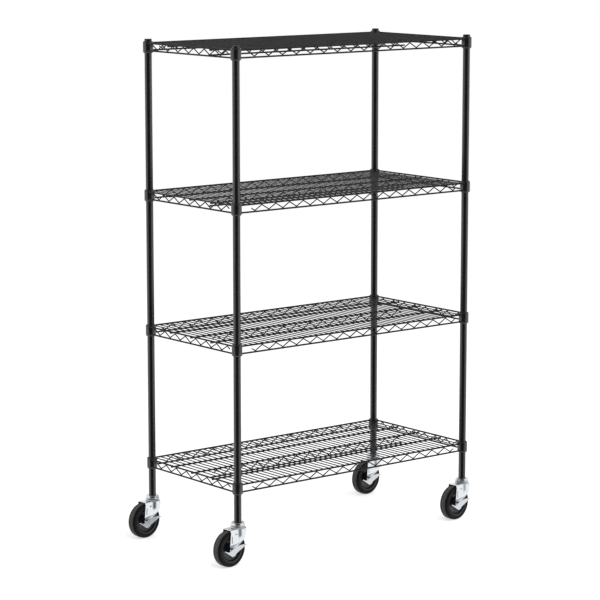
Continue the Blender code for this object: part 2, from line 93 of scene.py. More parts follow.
# Shelf wires
RAIL_WIRE = 0.006
DECK_WIRE = 0.0038
RIB_WIRE = 0.006
ZIGZAG_WIRE = 0.004
TRUSS_HEIGHT = 0.0312
TRUSS_OFFSET = 0.0107
DECK_DROP = 0.0017
DECK_PITCH = 0.0236
DECK_OVERHANG = 0.0006
RIB_PITCH = 0.119
ZIGZAG_PITCH = 0.0595
ZIGZAG_SETBACK = 0.055
SIDE_ZIGZAG_SETBACK = 0.040
ZIGZAG_BEND = 0.006
KEEL_SETBACK = 0.085
KEEL_DEPTH = 0.0271
WELD = 0.0005
WIRE_EASE = 0.0006
DECK_EASE = 0.0008
RAIL_SIDES = 14
DECK_SIDES = 12
RIB_SIDES = 12
ZIGZAG_SIDES = 10

# Wheels and nuts
WHEEL_RADIUS = 0.0626
TYRE_BEAD = 0.0450
WHEEL_SIDES = 72
NUT_ACROSS_FLATS = 0.0155
NUT_HEIGHT = 0.0064
NUT_BORE = 0.0040
NUT_GAP = 0.0002
NUT_CHAMFER_SHARE = 0.9
NUT_CHAMFER_INNER = 0.0007
NUT_CHAMFER_OUTER = 0.0008
NUT_SIDES = 36
NUT_SMOOTH_BELOW = math.radians(28)

# Forks and swivels; the fork's front edge is given as (reach, drop below the top plate)
FORK_HALF_WIDTH = 0.0211
FORK_WALL = 0.0026
FORK_CROWN = 0.029
FORK_FLARE = 0.026
FORK_BEND = 0.0042
FORK_TAIL = 0.050
FORK_BOSS = 0.015
FORK_EDGE = ((-0.0062, 0.0512), (0.0075, 0.0367), (0.0183, 0.0139), (FORK_CROWN, 0.0098))
FORK_LEAVES_BOSS = math.radians(20)
FORK_FLARE_FOOT = 0.072
FORK_FLARE_HEAD = 0.108
FORK_GROOVE_X = -0.0430
FORK_GROOVE_FOOT = 0.080
FORK_GROOVE_HEAD = 0.112
FORK_GROOVE_HALF_WIDTH = 0.0022
FORK_GROOVE_FADE = 0.004
FORK_GROOVE_DEPTH = 0.0013
FORK_DIMPLE_X = -0.0280
FORK_DIMPLE_HEIGHT = 0.1135
FORK_DIMPLE_RADIUS = 0.0046
FORK_DIMPLE_DEPTH = 0.0028
FORK_STEP = 0.001
FORK_FLARE_STEPS = 13
FORK_CROWN_STEPS = 16
FORK_ROWS = 40
FORK_SHARES = 60
FORK_SMOOTH_BELOW = math.radians(45)
RACE_HEIGHT = 0.005
CUP_RISE = 0.0029
CUP_SIDES = 64
KINGPIN_BORE = 0.0066

# Brake pedals; the outline is given as (reach, rise, bend radius)
PEDAL_THICKNESS = 0.0026
PEDAL_TILT = math.radians(24)
PEDAL_STANDOFF = 0.0148
PEDAL_GAP = 0.0003
PEDAL_EASE = 0.0004
PEDAL_BORE = 0.0043
PEDAL_BOSS = 0.0085
PEDAL_BOSS_EASE = 0.0006
PEDAL_BOSS_SIDES = 32
PEDAL_CURL = 3.0
PEDAL_CURL_FROM = 0.025
PEDAL_OUTLINE = (
    (0.0040, 0.0128, 0.060),
    (0.0330, 0.0152, 0.050),
    (0.0555, 0.0104, 0.0005),
    (0.0400, 0.0072, 0.080),
    (-0.0043, -0.0095, 0.020),
    (-0.0130, -0.0164, 0.006),
    (-0.0232, -0.0185, 0.004),
    (-0.0560, 0.0064, 0.0005),
    (-0.0350, -0.0020, 0.014),
)

# Finishes: the middle of a noise runs from one tone to the other
NOISE_LOW = 0.3
NOISE_HIGH = 0.7
NOISE_ROUGHNESS = 0.55

# Camera and studio
CAMERA_PLACE = (-5.46352, -6.76728, 2.26697)
CAMERA_YAW = math.radians(38.88414)
CAMERA_PITCH = math.radians(9.37454)
CAMERA_LENS = 149.209
CAMERA_SENSOR = 36.0
CAMERA_CLIP = 400.0
CARD_INNER = math.radians(36)
CARD_OUTER = math.radians(58)
CARD_TONE = 0.02
SKY_FROM = 0.15
SKY_TO = 0.8
SKY_LOW_TONE = 1.0
SKY_HIGH_TONE = 0.4
ROOM_LIGHT = 0.7
FLOOR_HALF = 150.0
FLOOR_TONE = 0.62
FLOOR_GLOW = 0.57
LAMP_TARGET = (0, 0, 0.9)
LAMPS = (
    ("key", (-1.5, -4.0, 5.0), (3.0, 3.0), 160),
    ("fill", (4.5, -1.5, 3.0), (2.5, 3.5), 70),
)

# Places taken from the CAD nodes


def middle(node):
    """Centre of a CAD node's box."""
    low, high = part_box(node)
    return (low + high) / 2


post_axis = {corner: middle(f"post_cap_{corner}").xy.to_3d() for corner in CORNERS}
wheel_centre = {corner: middle(f"wheel_hub_{corner}") for corner in CORNERS}
deck_height = {level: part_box(f"shelf_{level}")[1].z - COLLAR_RISE for level in LEVELS}
shelf_centre = (post_axis["front_left"] + post_axis["back_right"]) / 2
span_x = post_axis["front_right"].x - post_axis["front_left"].x
span_y = post_axis["back_left"].y - post_axis["front_left"].y
post_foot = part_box("post_front_left")[0].z
post_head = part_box("post_front_left")[1].z
cup_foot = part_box("swivel_cup_front_left")[0].z
cup_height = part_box("swivel_cup_front_left")[1].z - cup_foot
fork_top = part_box("fork_front_left")[1].z - RACE_HEIGHT
axle_height = wheel_centre["front_left"].z
trail_line = post_axis["front_left"] - wheel_centre["front_left"]
caster_yaw = math.atan2(trail_line.y, trail_line.x)
caster_trail = trail_line.xy.length

# Mesh building


def finish_mesh(name, bm, sharp_above=SMOOTH_BELOW):
    """Turn a bmesh into a mesh with outward faces, smooth across shallow edges."""
    bmesh.ops.remove_doubles(bm, verts=bm.verts, dist=SAME_POINT)
    bmesh.ops.recalc_face_normals(bm, faces=bm.faces)
    mesh = bpy.data.meshes.new(name)
    bm.to_mesh(mesh)
    bm.free()
    mesh.shade_smooth()
    mesh.set_sharp_from_angle(angle=sharp_above)
    return mesh


def join_rings(bm, rings, closed):
    """Skin neighbouring rings of vertices."""
    pairs = list(zip(rings, rings[1:]))
    if closed:
        pairs.append((rings[-1], rings[0]))
    for one, two in pairs:
        count = len(one)
        for i in range(count):
            j = (i + 1) % count
            bm.faces.new((one[i], one[j], two[j], two[i]))


def add_tube(bm, path, radius, sides, ease=WIRE_EASE):
    """Sweep a round wire along a path; its two ends are eased."""
    first = (path[1] - path[0]).normalized()
    last = (path[-1] - path[-2]).normalized()
    stations = [(path[0], radius - ease), (path[0] + first * ease, radius)]
    stations += [(point, radius) for point in path[1:-1]]
    stations += [(path[-1] - last * ease, radius), (path[-1], radius - ease)]
    side = first.orthogonal().normalized()
    rings = []
    for i, (point, width) in enumerate(stations):
        before = stations[max(i - 1, 0)][0]
        after = stations[min(i + 1, len(stations) - 1)][0]
        ahead = (after - before).normalized()
        side = (side - ahead * side.dot(ahead)).normalized()
        over = ahead.cross(side)
        turns = [2 * math.pi * k / sides for k in range(sides)]
        rings.append([bm.verts.new(point + width * (side * math.cos(a) + over * math.sin(a))) for a in turns])
    join_rings(bm, rings, closed=False)
    bm.faces.new(rings[0])
    bm.faces.new(rings[-1])


def add_lathe(bm, profile, sides, centre=Vector()):
    """Revolve a closed loop of (radius, height) points about Z."""
    turns = [2 * math.pi * k / sides for k in range(sides)]
    rings = [
        [bm.verts.new(centre + Vector((r * math.cos(a), r * math.sin(a), z))) for a in turns]
        for r, z in profile
    ]
    join_rings(bm, rings, closed=True)


def lathe_mesh(name, profile, sides):
    """Mesh of one revolved loop."""
    bm = bmesh.new()
    add_lathe(bm, profile, sides)
    return finish_mesh(name, bm)


def mirrored(profile):
    """A profile followed by its mirror image below zero."""
    return list(profile) + [(r, -z) for r, z in reversed(profile)]


def rounded(corners, bends, steps, closed):
    """Replace the corners of a polyline by arcs, each with its own bend radius."""
    points = []
    count = len(corners)
    for i, (corner, bend) in enumerate(zip(corners, bends)):
        if not closed and i in (0, count - 1):
            points.append(corner)
            continue
        back = (corners[i - 1] - corner).normalized()
        ahead = (corners[(i + 1) % count] - corner).normalized()
        half = back.angle(ahead) / 2
        if abs(math.pi / 2 - half) < SAME_POINT:
            points.append(corner)
            continue
        bisector = (back + ahead).normalized()
        centre = corner + bisector * (bend / math.sin(half))
        start = corner + back * (bend / math.tan(half)) - centre
        end = corner + ahead * (bend / math.tan(half)) - centre
        sweep = start.angle(end)
        for k in range(steps + 1):
            t = k / steps
            mix = (start * math.sin((1 - t) * sweep) + end * math.sin(t * sweep)) / math.sin(sweep)
            points.append(centre + mix)
    return points


# Shelves


def zigzag_path(run, low, high, starts_high):
    """Centre line (run, height) of a zigzag wire between two rails, with a free half leg at each end."""
    half = ZIGZAG_PITCH / 2
    legs = int(run / half)
    level = (low + high) / 2
    slope = math.atan2(high - low - ZIGZAG_WIRE, half)
    reach = (high - low - ZIGZAG_WIRE) / 2 + WELD + ZIGZAG_BEND * (1 / math.cos(slope) - 1)
    corners = [Vector((-(legs + 1) * half / 2, level))]
    for i in range(legs + 1):
        rise = reach if bool(i % 2) != starts_high else -reach
        corners.append(Vector(((i - legs / 2) * half, level + rise)))
    corners.append(Vector(((legs + 1) * half / 2, level)))
    return rounded(corners, [ZIGZAG_BEND] * len(corners), ARC_STEPS, closed=False)


def add_truss(bm, along, outward, span, offset, setback, starts_high):
    """Top rail, bottom rail and zigzag of one side."""
    reach = span / 2 - math.sqrt(COLLAR_RADIUS**2 - TRUSS_OFFSET**2) + 2 * WELD
    top = -RAIL_WIRE / 2
    bottom = -TRUSS_HEIGHT + RAIL_WIRE / 2
    for height in (top, bottom):
        ends = [outward * offset + along * side * reach + Z * height for side in (-1, 1)]
        add_tube(bm, ends, RAIL_WIRE / 2, RAIL_SIDES)
    path = zigzag_path(span - 2 * setback, bottom + RAIL_WIRE / 2, top - RAIL_WIRE / 2, starts_high)
    add_tube(bm, [outward * offset + along * p.x + Z * p.y for p in path], ZIGZAG_WIRE / 2, ZIGZAG_SIDES)


def add_deck(bm):
    """Cross wires over three ribs; the middle rib is the top of a shorter truss."""
    inside = span_x + 2 * TRUSS_OFFSET - RAIL_WIRE
    count = int(inside / DECK_PITCH) - 1
    reach = span_y / 2 + TRUSS_OFFSET + RAIL_WIRE / 2 + DECK_OVERHANG
    height = -DECK_DROP - DECK_WIRE / 2
    for i in range(count):
        x = (i - (count - 1) / 2) * DECK_PITCH
        ends = [Vector((x, side * reach, height)) for side in (-1, 1)]
        add_tube(bm, ends, DECK_WIRE / 2, DECK_SIDES, DECK_EASE)
    rib_height = -DECK_DROP - DECK_WIRE - RIB_WIRE / 2 + WELD / 2
    rib_reach = span_x / 2 + TRUSS_OFFSET + DECK_OVERHANG
    for y in (-RIB_PITCH, 0, RIB_PITCH):
        add_tube(bm, [Vector((side * rib_reach, y, rib_height)) for side in (-1, 1)], RIB_WIRE / 2, RIB_SIDES)
    keel_height = rib_height - KEEL_DEPTH
    keel_reach = span_x / 2 + TRUSS_OFFSET - KEEL_SETBACK
    add_tube(bm, [Vector((side * keel_reach, 0, keel_height)) for side in (-1, 1)], RIB_WIRE / 2, RIB_SIDES)
    run = 2 * keel_reach - ZIGZAG_PITCH / 2
    path = zigzag_path(run, keel_height + RIB_WIRE / 2, rib_height - RIB_WIRE / 2, starts_high=True)
    add_tube(bm, [Vector((p.x, 0, p.y)) for p in path], ZIGZAG_WIRE / 2, ZIGZAG_SIDES)


def collars_mesh():
    """Four tapered collars with a rolled top edge and a bevelled foot; the deck top is at zero."""
    profile = [
        (0.0151, COLLAR_RISE),
        (0.0164, COLLAR_RISE),
        (0.0172, COLLAR_RISE - 0.0003),
        (0.0177, COLLAR_RISE - 0.0009),
        (COLLAR_RADIUS, COLLAR_RISE - 0.0019),
        (COLLAR_RADIUS, COLLAR_FOOT + 0.0030),
        (0.0177, COLLAR_FOOT + 0.0020),
        (0.0168, COLLAR_FOOT + 0.0004),
        (0.0164, COLLAR_FOOT),
        (0.0160, COLLAR_FOOT),
    ]
    bm = bmesh.new()
    for side_x in (-1, 1):
        for side_y in (-1, 1):
            add_lathe(bm, profile, COLLAR_SIDES, Vector((side_x * span_x / 2, side_y * span_y / 2, 0)))
    return finish_mesh("collars", bm)


def shelf_mesh():
    """The wires of one shelf about its centre; the deck top is at zero."""
    bm = bmesh.new()
    for side in (-1, 1):
        offset = span_y / 2 + TRUSS_OFFSET
        add_truss(bm, side * X, side * Y, span_x, offset, ZIGZAG_SETBACK, starts_high=False)
        offset = span_x / 2 + TRUSS_OFFSET
        add_truss(bm, side * Y, side * X, span_y, offset, SIDE_ZIGZAG_SETBACK, starts_high=True)
    add_deck(bm)
    return finish_mesh("shelf", bm)


def sleeve_mesh():
    """Tapered plastic sleeve split down one side; the deck top is at zero."""
    profile = [
        (SLEEVE_BORE, SLEEVE_TOP),
        (0.0144, SLEEVE_TOP),
        (0.0149, 0.0034),
        (0.0150, 0.0026),
        (0.01585, -0.0355),
        (0.0156, -0.0362),
        (0.0140, -0.0373),
        (SLEEVE_BORE, SLEEVE_FOOT),
    ]
    start = SLEEVE_SLIT_AT + SLEEVE_SLIT / 2
    sweep = 2 * math.pi - SLEEVE_SLIT
    bm = bmesh.new()
    columns = []
    for k in range(COLLAR_SIDES + 1):
        a = start + sweep * k / COLLAR_SIDES
        columns.append([bm.verts.new((r * math.cos(a), r * math.sin(a), z)) for r, z in profile])
    join_rings(bm, columns, closed=False)
    bm.faces.new(columns[0])
    bm.faces.new(columns[-1])
    return finish_mesh("sleeve", bm)


# Posts and caps


def post_mesh():
    """Round tube standing on zero, with a fine groove at every pitch."""
    length = post_head - post_foot
    outer = [(POST_RADIUS - POST_EASE_IN, 0), (POST_RADIUS, POST_EASE_UP)]
    for k in range(1, int(length / GROOVE_PITCH) + 1):
        height = k * GROOVE_PITCH
        if height > length - GROOVE_WIDTH:
            break
        outer += [
            (POST_RADIUS, height - GROOVE_WIDTH / 2),
            (POST_RADIUS - GROOVE_DEPTH, height - GROOVE_WIDTH / 5),
            (POST_RADIUS - GROOVE_DEPTH, height + GROOVE_WIDTH / 5),
            (POST_RADIUS, height + GROOVE_WIDTH / 2),
        ]
    outer += [(POST_RADIUS, length - POST_EASE_UP), (POST_RADIUS - POST_EASE_IN, length)]
    return lathe_mesh("post", outer + [(POST_BORE, length), (POST_BORE, 0)], POST_SIDES)


def cap_mesh():
    """Moulded cap with a rounded edge and a plug; the top of the tube is at zero."""
    plug = POST_BORE - CAP_PLUG_SLACK
    dish = CAP_HEIGHT - CAP_DISH_DEPTH
    edge = [
        (CAP_RADIUS - CAP_ROUND * (1 - math.sin(a)), CAP_HEIGHT - CAP_ROUND * (1 - math.cos(a)))
        for a in [math.pi / 2 * k / ARC_STEPS for k in range(ARC_STEPS + 1)]
    ]
    profile = [
        (CAP_CORE, -CAP_PLUG_LENGTH),
        (plug - CAP_PLUG_NOSE, -CAP_PLUG_LENGTH),
        (plug, 2 * CAP_PLUG_NOSE - CAP_PLUG_LENGTH),
        (plug, CAP_SEAT),
        (CAP_RADIUS - CAP_EASE, CAP_SEAT),
        (CAP_RADIUS, CAP_SEAT + CAP_EASE),
        *reversed(edge),
        (CAP_DISH_RADIUS, CAP_HEIGHT + CAP_CROWN),
        (CAP_DISH_RADIUS - CAP_DISH_SLOPE, dish),
        (CAP_CORE, dish),
    ]
    return lathe_mesh("cap", profile, POST_SIDES)


# Casters


def cup_mesh():
    """Pressed upper race: a rolled rim and a sloping wall that rises round the foot of the post."""
    wall = cup_height + CUP_RISE
    profile = [
        (KINGPIN_BORE, 0.0006),
        (0.0230, 0.0006),
        (0.0241, 0.0002),
        (0.0252, 0.0005),
        (0.0257, 0.0013),
        (0.0257, 0.0025),
        (0.0252, 0.0034),
        (0.0244, 0.0043),
        (0.0238, 0.0058),
        (0.0230, wall - 0.0018),
        (0.0226, wall - 0.0008),
        (0.0219, wall - 0.0002),
        (0.0211, wall),
        (0.0146, wall - 0.0002),
        (0.0136, wall - 0.0006),
        (0.0131, wall - 0.0014),
        (0.0131, cup_height),
        (KINGPIN_BORE, cup_height),
    ]
    return lathe_mesh("cup", profile, CUP_SIDES)


def race_mesh():
    """Lower race pressed on the fork's top plate, which is at zero, with the bearing's shadow gap above."""
    profile = [
        (KINGPIN_BORE, -0.0004),
        (0.0268, -0.0004),
        (0.0258, 0.0003),
        (0.0251, 0.0011),
        (0.0246, 0.0021),
        (0.0240, 0.0029),
        (0.0230, 0.0034),
        (0.0215, 0.0035),
        (0.0190, 0.0034),
        (0.0186, 0.0040),
        (0.0186, 0.0048),
        (KINGPIN_BORE, 0.0048),
    ]
    return lathe_mesh("race", profile, CUP_SIDES)


def gap_shade_mesh():
    """Dark ring put in the gap between the two races as painted shade for the bearing's shadow gap; the
    fork's top plate is at zero.
    """
    profile = [
        (0.0184, 0.0036),
        (0.0226, 0.0037),
        (0.0233, 0.0041),
        (0.0233, 0.0048),
        (0.0226, 0.0052),
        (0.0184, 0.0052),
    ]
    return lathe_mesh("gap_shade", profile, CUP_SIDES)


def smooth_step(t):
    """Ease from 0 to 1."""
    t = min(max(t, 0.0), 1.0)
    return t * t * (3 - 2 * t)


def fork_stations():
    """Plan stations of one fork half: places along the leg and flare, then angles round the crown."""
    leg = [-FORK_TAIL + FORK_STEP * k for k in range(round((FORK_TAIL - FORK_FLARE) / FORK_STEP))]
    flare = [-FORK_FLARE + FORK_FLARE * k / FORK_FLARE_STEPS for k in range(FORK_FLARE_STEPS)]
    crown = [math.pi / 2 * k / FORK_CROWN_STEPS for k in range(FORK_CROWN_STEPS + 1)]
    return leg + flare, crown


def fork_section(inset, share):
    """Outer plan of one fork half, drawn in by an inset, with a share of the crown's flare."""
    straight, crown = fork_stations()
    gain = (FORK_CROWN - FORK_HALF_WIDTH) * share
    points = []
    for x in straight:
        width = FORK_HALF_WIDTH + gain * smooth_step((x + FORK_FLARE) / FORK_FLARE)
        points.append(Vector((x, -(width - inset))))
    radius = FORK_HALF_WIDTH + gain - inset
    points += [Vector((radius * math.sin(a), -radius * math.cos(a))) for a in crown]
    return points


def fork_low_edge(x):
    """Height of the fork's lower edge: round the axle boss, up a slope, and steeply to the nose."""
    leaves_x = -caster_trail + FORK_BOSS * math.cos(FORK_LEAVES_BOSS)
    near = (leaves_x, axle_height + FORK_BOSS * math.sin(FORK_LEAVES_BOSS))
    if x <= leaves_x:
        across = min(abs(x + caster_trail), FORK_BOSS)
        return axle_height - math.sqrt(FORK_BOSS**2 - across**2)
    for reach, drop in FORK_EDGE:
        far = (reach, fork_top - drop)
        if x <= reach:
            break
        near = far
    if x >= far[0]:
        return far[1]
    return near[1] + (far[1] - near[1]) * (x - near[0]) / (far[0] - near[0])


def fork_lean(x, height):
    """How far a point of the leg moves back, so that the rear edge leans down to the axle boss."""
    down = min(max((fork_top - height) / (fork_top - axle_height), 0), 1)
    share = smooth_step((-x - FORK_FLARE) / (FORK_TAIL - FORK_FLARE))
    return -(FORK_BOSS + caster_trail - FORK_TAIL) * down * share


def fork_relief(x, height):
    """Depth of the pressed groove and dimple in the outer face of a leg."""
    groove = smooth_step(1 - abs(x - FORK_GROOVE_X) / FORK_GROOVE_HALF_WIDTH)
    groove *= smooth_step((height - FORK_GROOVE_FOOT) / FORK_GROOVE_FADE)
    groove *= smooth_step((FORK_GROOVE_HEAD - height) / FORK_GROOVE_FADE)
    away = math.hypot(x - FORK_DIMPLE_X, height - FORK_DIMPLE_HEIGHT)
    dimple = smooth_step(1 - away / FORK_DIMPLE_RADIUS)
    return FORK_GROOVE_DEPTH * groove + FORK_DIMPLE_DEPTH * dimple


def fork_mesh():
    """Stamped fork: flat legs that flare into a round crown under a top plate, open at the back."""
    rows = []
    for k in range(ARC_STEPS + 1):
        a = math.pi / 2 * k / ARC_STEPS
        height = fork_top - FORK_BEND * (1 - math.cos(a))
        section = fork_section(FORK_BEND * (1 - math.sin(a)), share=1.0)
        rows.append([Vector((p.x, p.y, height)) for p in section])
    wall_top = fork_top - FORK_BEND
    sections = [fork_section(0, k / FORK_SHARES) for k in range(FORK_SHARES + 1)]
    for k in range(1, FORK_ROWS + 1):
        row = []
        for i, p in enumerate(sections[-1]):
            height = wall_top + (fork_low_edge(p.x) - wall_top) * k / FORK_ROWS
            share = smooth_step((height - FORK_FLARE_FOOT) / (FORK_FLARE_HEAD - FORK_FLARE_FOOT))
            q = sections[round(share * FORK_SHARES)][i]
            x = q.x + fork_lean(q.x, height)
            height = wall_top + (fork_low_edge(x) - wall_top) * k / FORK_ROWS
            row.append(Vector((x, q.y + fork_relief(q.x, height), height)))
        rows.append(row)
    bm = bmesh.new()
    rings = []
    for near in rows:
        far = [Vector((p.x, -p.y, p.z)) for p in reversed(near[:-1])]
        rings.append([bm.verts.new(p) for p in near + far])
    for one, two in zip(rings, rings[1:]):
        for i in range(len(one) - 1):
            bm.faces.new((one[i], one[i + 1], two[i + 1], two[i]))
    bm.faces.new(rings[0])
    bmesh.ops.recalc_face_normals(bm, faces=bm.faces)
    mesh = bpy.data.meshes.new("fork_skin")
    bm.to_mesh(mesh)
    bm.free()
    skin = bpy.data.objects.new("fork_skin", mesh)
    bpy.context.scene.collection.objects.link(skin)
    thicken = skin.modifiers.new("wall", "SOLIDIFY")
    thicken.thickness = FORK_WALL
    thicken.offset = -1
    solid = bpy.data.meshes.new_from_object(skin.evaluated_get(bpy.context.evaluated_depsgraph_get()))
    bpy.data.objects.remove(skin, do_unlink=True)
    bm = bmesh.new()
    bm.from_mesh(solid)
    bpy.data.meshes.remove(solid)
    return finish_mesh("fork", bm, FORK_SMOOTH_BELOW)


def hub_mesh():
    """Moulded wheel core about Z: rim lip, groove, dished web and a long hub."""
    face = [
        (0.0042, 0.0175),
        (0.0052, 0.0179),
        (0.0110, 0.0179),
        (0.0128, 0.0174),
        (0.0135, 0.0160),
        (0.0145, 0.0085),
        (0.0165, 0.0062),
        (0.0200, 0.0056),
        (0.0240, 0.0060),
        (0.0300, 0.0078),
        (0.0360, 0.0104),
        (0.0374, 0.0106),
        (0.0382, 0.0100),
        (0.0387, 0.0078),
        (0.0396, 0.0070),
        (0.0408, 0.0070),
        (0.0416, 0.0078),
        (0.0421, 0.0122),
        (0.0427, 0.0132),
        (0.0436, 0.0135),
        (0.0445, 0.0135),
        (0.0447, 0.0120),
    ]
    return lathe_mesh("hub", mirrored(face), WHEEL_SIDES)


def tyre_mesh():
    """Moulded tyre about Z with round shoulders and a raised ring on each sidewall."""
    face = [
        (TYRE_BEAD, 0.0130),
        (0.0452, 0.0150),
        (0.0458, 0.0160),
        (0.0470, 0.0163),
        (0.0480, 0.0160),
        (0.0485, 0.0154),
        (0.0494, 0.0154),
        (0.0515, 0.0161),
        (0.0540, 0.0165),
        (0.0565, 0.0165),
        (0.0585, 0.0160),
        (0.0600, 0.0149),
        (0.0610, 0.0134),
        (0.0617, 0.0116),
        (0.0621, 0.0095),
        (0.0624, 0.0060),
        (WHEEL_RADIUS, 0.0020),
    ]
    return lathe_mesh("tyre", mirrored(face), WHEEL_SIDES)


def nut_mesh():
    """Hexagon nut with chamfered corners about Z, seated on the back leg."""
    seat = -FORK_HALF_WIDTH - NUT_GAP
    half_side = math.pi / 6
    chamfer = NUT_CHAMFER_SHARE * NUT_ACROSS_FLATS / 2 / math.cos(half_side)
    turns = [2 * math.pi * k / NUT_SIDES for k in range(NUT_SIDES)]
    flats = [NUT_ACROSS_FLATS / 2 / math.cos(a % (2 * half_side) - half_side) for a in turns]
    eased = [min(flat, chamfer) for flat in flats]
    bore = [NUT_BORE] * NUT_SIDES
    levels = (
        (eased, 0),
        (flats, NUT_CHAMFER_INNER),
        (flats, NUT_HEIGHT - NUT_CHAMFER_OUTER),
        (eased, NUT_HEIGHT),
        (bore, NUT_HEIGHT),
        (bore, 0),
    )
    bm = bmesh.new()
    rings = [
        [bm.verts.new((r * math.cos(a), r * math.sin(a), seat - depth)) for r, a in zip(radii, turns)]
        for radii, depth in levels
    ]
    join_rings(bm, rings, closed=True)
    return finish_mesh("nut", bm, NUT_SMOOTH_BELOW)


def pedal_mesh():
    """Two-winged rocker plate with rounded corners and eased edges on a boss; local -Y is outward."""
    corners = [Vector((x, z)) for x, z, _ in PEDAL_OUTLINE]
    outline = rounded(corners, [bend for _, _, bend in PEDAL_OUTLINE], ARC_STEPS, closed=True)
    face = FORK_HALF_WIDTH + PEDAL_GAP
    half = PEDAL_THICKNESS / 2
    flank = half - PEDAL_EASE
    bm = bmesh.new()
    loops = []
    for depth, inward in ((-half, PEDAL_EASE), (-flank, 0), (flank, 0), (half, PEDAL_EASE)):
        loop = []
        for i, p in enumerate(outline):
            ahead = (outline[(i + 1) % len(outline)] - outline[i - 1]).normalized()
            q = p + Vector((ahead.y, -ahead.x)) * inward
            curl = PEDAL_CURL * max(abs(q.x) - PEDAL_CURL_FROM, 0) ** 2
            loop.append(bm.verts.new((q.x, depth - curl, q.y)))
        loops.append(loop)
    join_rings(bm, loops, closed=False)
    for loop in (loops[0], loops[-1]):
        cover = bm.faces.new(loop)
        cover.normal_update()
        bmesh.ops.triangulate(bm, faces=[cover])
    lean = Matrix.Translation((0, -face - PEDAL_STANDOFF, 0)) @ Matrix.Rotation(-PEDAL_TILT, 4, "X")
    bmesh.ops.transform(bm, matrix=lean, verts=bm.verts)
    plate = set(bm.verts)
    boss_end = face + PEDAL_STANDOFF - PEDAL_BOSS * math.tan(PEDAL_TILT)
    profile = [
        (PEDAL_BORE, face),
        (PEDAL_BOSS - PEDAL_BOSS_EASE, face),
        (PEDAL_BOSS, face + PEDAL_BOSS_EASE),
        (PEDAL_BOSS, boss_end),
        (PEDAL_BORE, boss_end),
    ]
    add_lathe(bm, profile, PEDAL_BOSS_SIDES)
    boss = [v for v in bm.verts if v not in plate]
    bmesh.ops.transform(bm, matrix=Matrix.Rotation(math.pi / 2, 4, "X"), verts=boss)
    return finish_mesh("pedal", bm)


# Materials


class Finish:
    """A Principled material whose colour, roughness and bump come from textures in object space."""

    def __init__(self, name, **constants):
        self.material = bpy.data.materials.new(name)
        self.material.use_nodes = True
        self.tree = self.material.node_tree
        self.shader = self.tree.nodes["Principled BSDF"]
        for socket, value in constants.items():
            self.shader.inputs[socket.replace("_", " ")].default_value = value
        self.place = self.tree.nodes.new("ShaderNodeTexCoord").outputs["Object"]
        self.relief = None

    def stretched(self, scale):
        """Object coordinates scaled along each axis."""
        node = self.tree.nodes.new("ShaderNodeMapping")
        node.inputs["Scale"].default_value = scale
        self.tree.links.new(self.place, node.inputs["Vector"])
        return node.outputs["Vector"]

    def noise(self, scale, detail=3.0, place=None):
        """Soft noise of a given scale."""
        node = self.tree.nodes.new("ShaderNodeTexNoise")
        node.inputs["Scale"].default_value = scale
        node.inputs["Detail"].default_value = detail
        node.inputs["Roughness"].default_value = NOISE_ROUGHNESS
        self.tree.links.new(place or self.place, node.inputs["Vector"])
        return node.outputs["Fac"]

    def cells(self, scale):
        """Crystal-like cells of a given scale, a random value each."""
        node = self.tree.nodes.new("ShaderNodeTexVoronoi")
        node.inputs["Scale"].default_value = scale
        self.tree.links.new(self.place, node.inputs["Vector"])
        return node.outputs["Color"]

    def radius(self, low, high, grain, spread):
        """Distance from the object's Z axis, from 0 at one radius to 1 at another, blurred by a grain."""
        flat = self.tree.nodes.new("ShaderNodeVectorMath")
        flat.operation = "MULTIPLY"
        flat.inputs[1].default_value = (1, 1, 0)
        self.tree.links.new(self.place, flat.inputs[0])
        length = self.tree.nodes.new("ShaderNodeVectorMath")
        length.operation = "LENGTH"
        self.tree.links.new(flat.outputs["Vector"], length.inputs[0])
        blur = self.tree.nodes.new("ShaderNodeMath")
        blur.operation = "MULTIPLY_ADD"
        blur.inputs[1].default_value = spread
        self.tree.links.new(grain, blur.inputs[0])
        self.tree.links.new(length.outputs["Value"], blur.inputs[2])
        node = self.tree.nodes.new("ShaderNodeMapRange")
        node.inputs["From Min"].default_value = low + spread / 2
        node.inputs["From Max"].default_value = high + spread / 2
        self.tree.links.new(blur.outputs["Value"], node.inputs["Value"])
        return node.outputs["Result"]

    def ramp(self, factor, stops):
        """Colours along a factor."""
        node = self.tree.nodes.new("ShaderNodeValToRGB")
        first, last = node.color_ramp.elements
        first.position, first.color = stops[0][0], (*stops[0][1], 1)
        last.position, last.color = stops[-1][0], (*stops[-1][1], 1)
        for position, colour in stops[1:-1]:
            node.color_ramp.elements.new(position).color = (*colour, 1)
        self.tree.links.new(factor, node.inputs["Fac"])
        return node.outputs["Color"]

    def colour(self, factor, *stops):
        """Drive the base colour."""
        self.tree.links.new(self.ramp(factor, stops), self.shader.inputs["Base Color"])

    def mottle(self, factor, dark, pale):
        """Drive the base colour between two tones over the middle of a noise."""
        self.colour(factor, (NOISE_LOW, dark), (NOISE_HIGH, pale))

    def roughness(self, factor, low, high):
        """Drive the roughness between two values over the middle of a noise."""
        stops = [(NOISE_LOW, (low,) * 3), (NOISE_HIGH, (high,) * 3)]
        self.tree.links.new(self.ramp(factor, stops), self.shader.inputs["Roughness"])

    def bump(self, height, distance, strength):
        """Add a layer of relief."""
        node = self.tree.nodes.new("ShaderNodeBump")
        node.inputs["Strength"].default_value = strength
        node.inputs["Distance"].default_value = distance
        self.tree.links.new(height, node.inputs["Height"])
        if self.relief:
            self.tree.links.new(self.relief, node.inputs["Normal"])
        self.relief = node.outputs["Normal"]
        self.tree.links.new(self.relief, self.shader.inputs["Normal"])


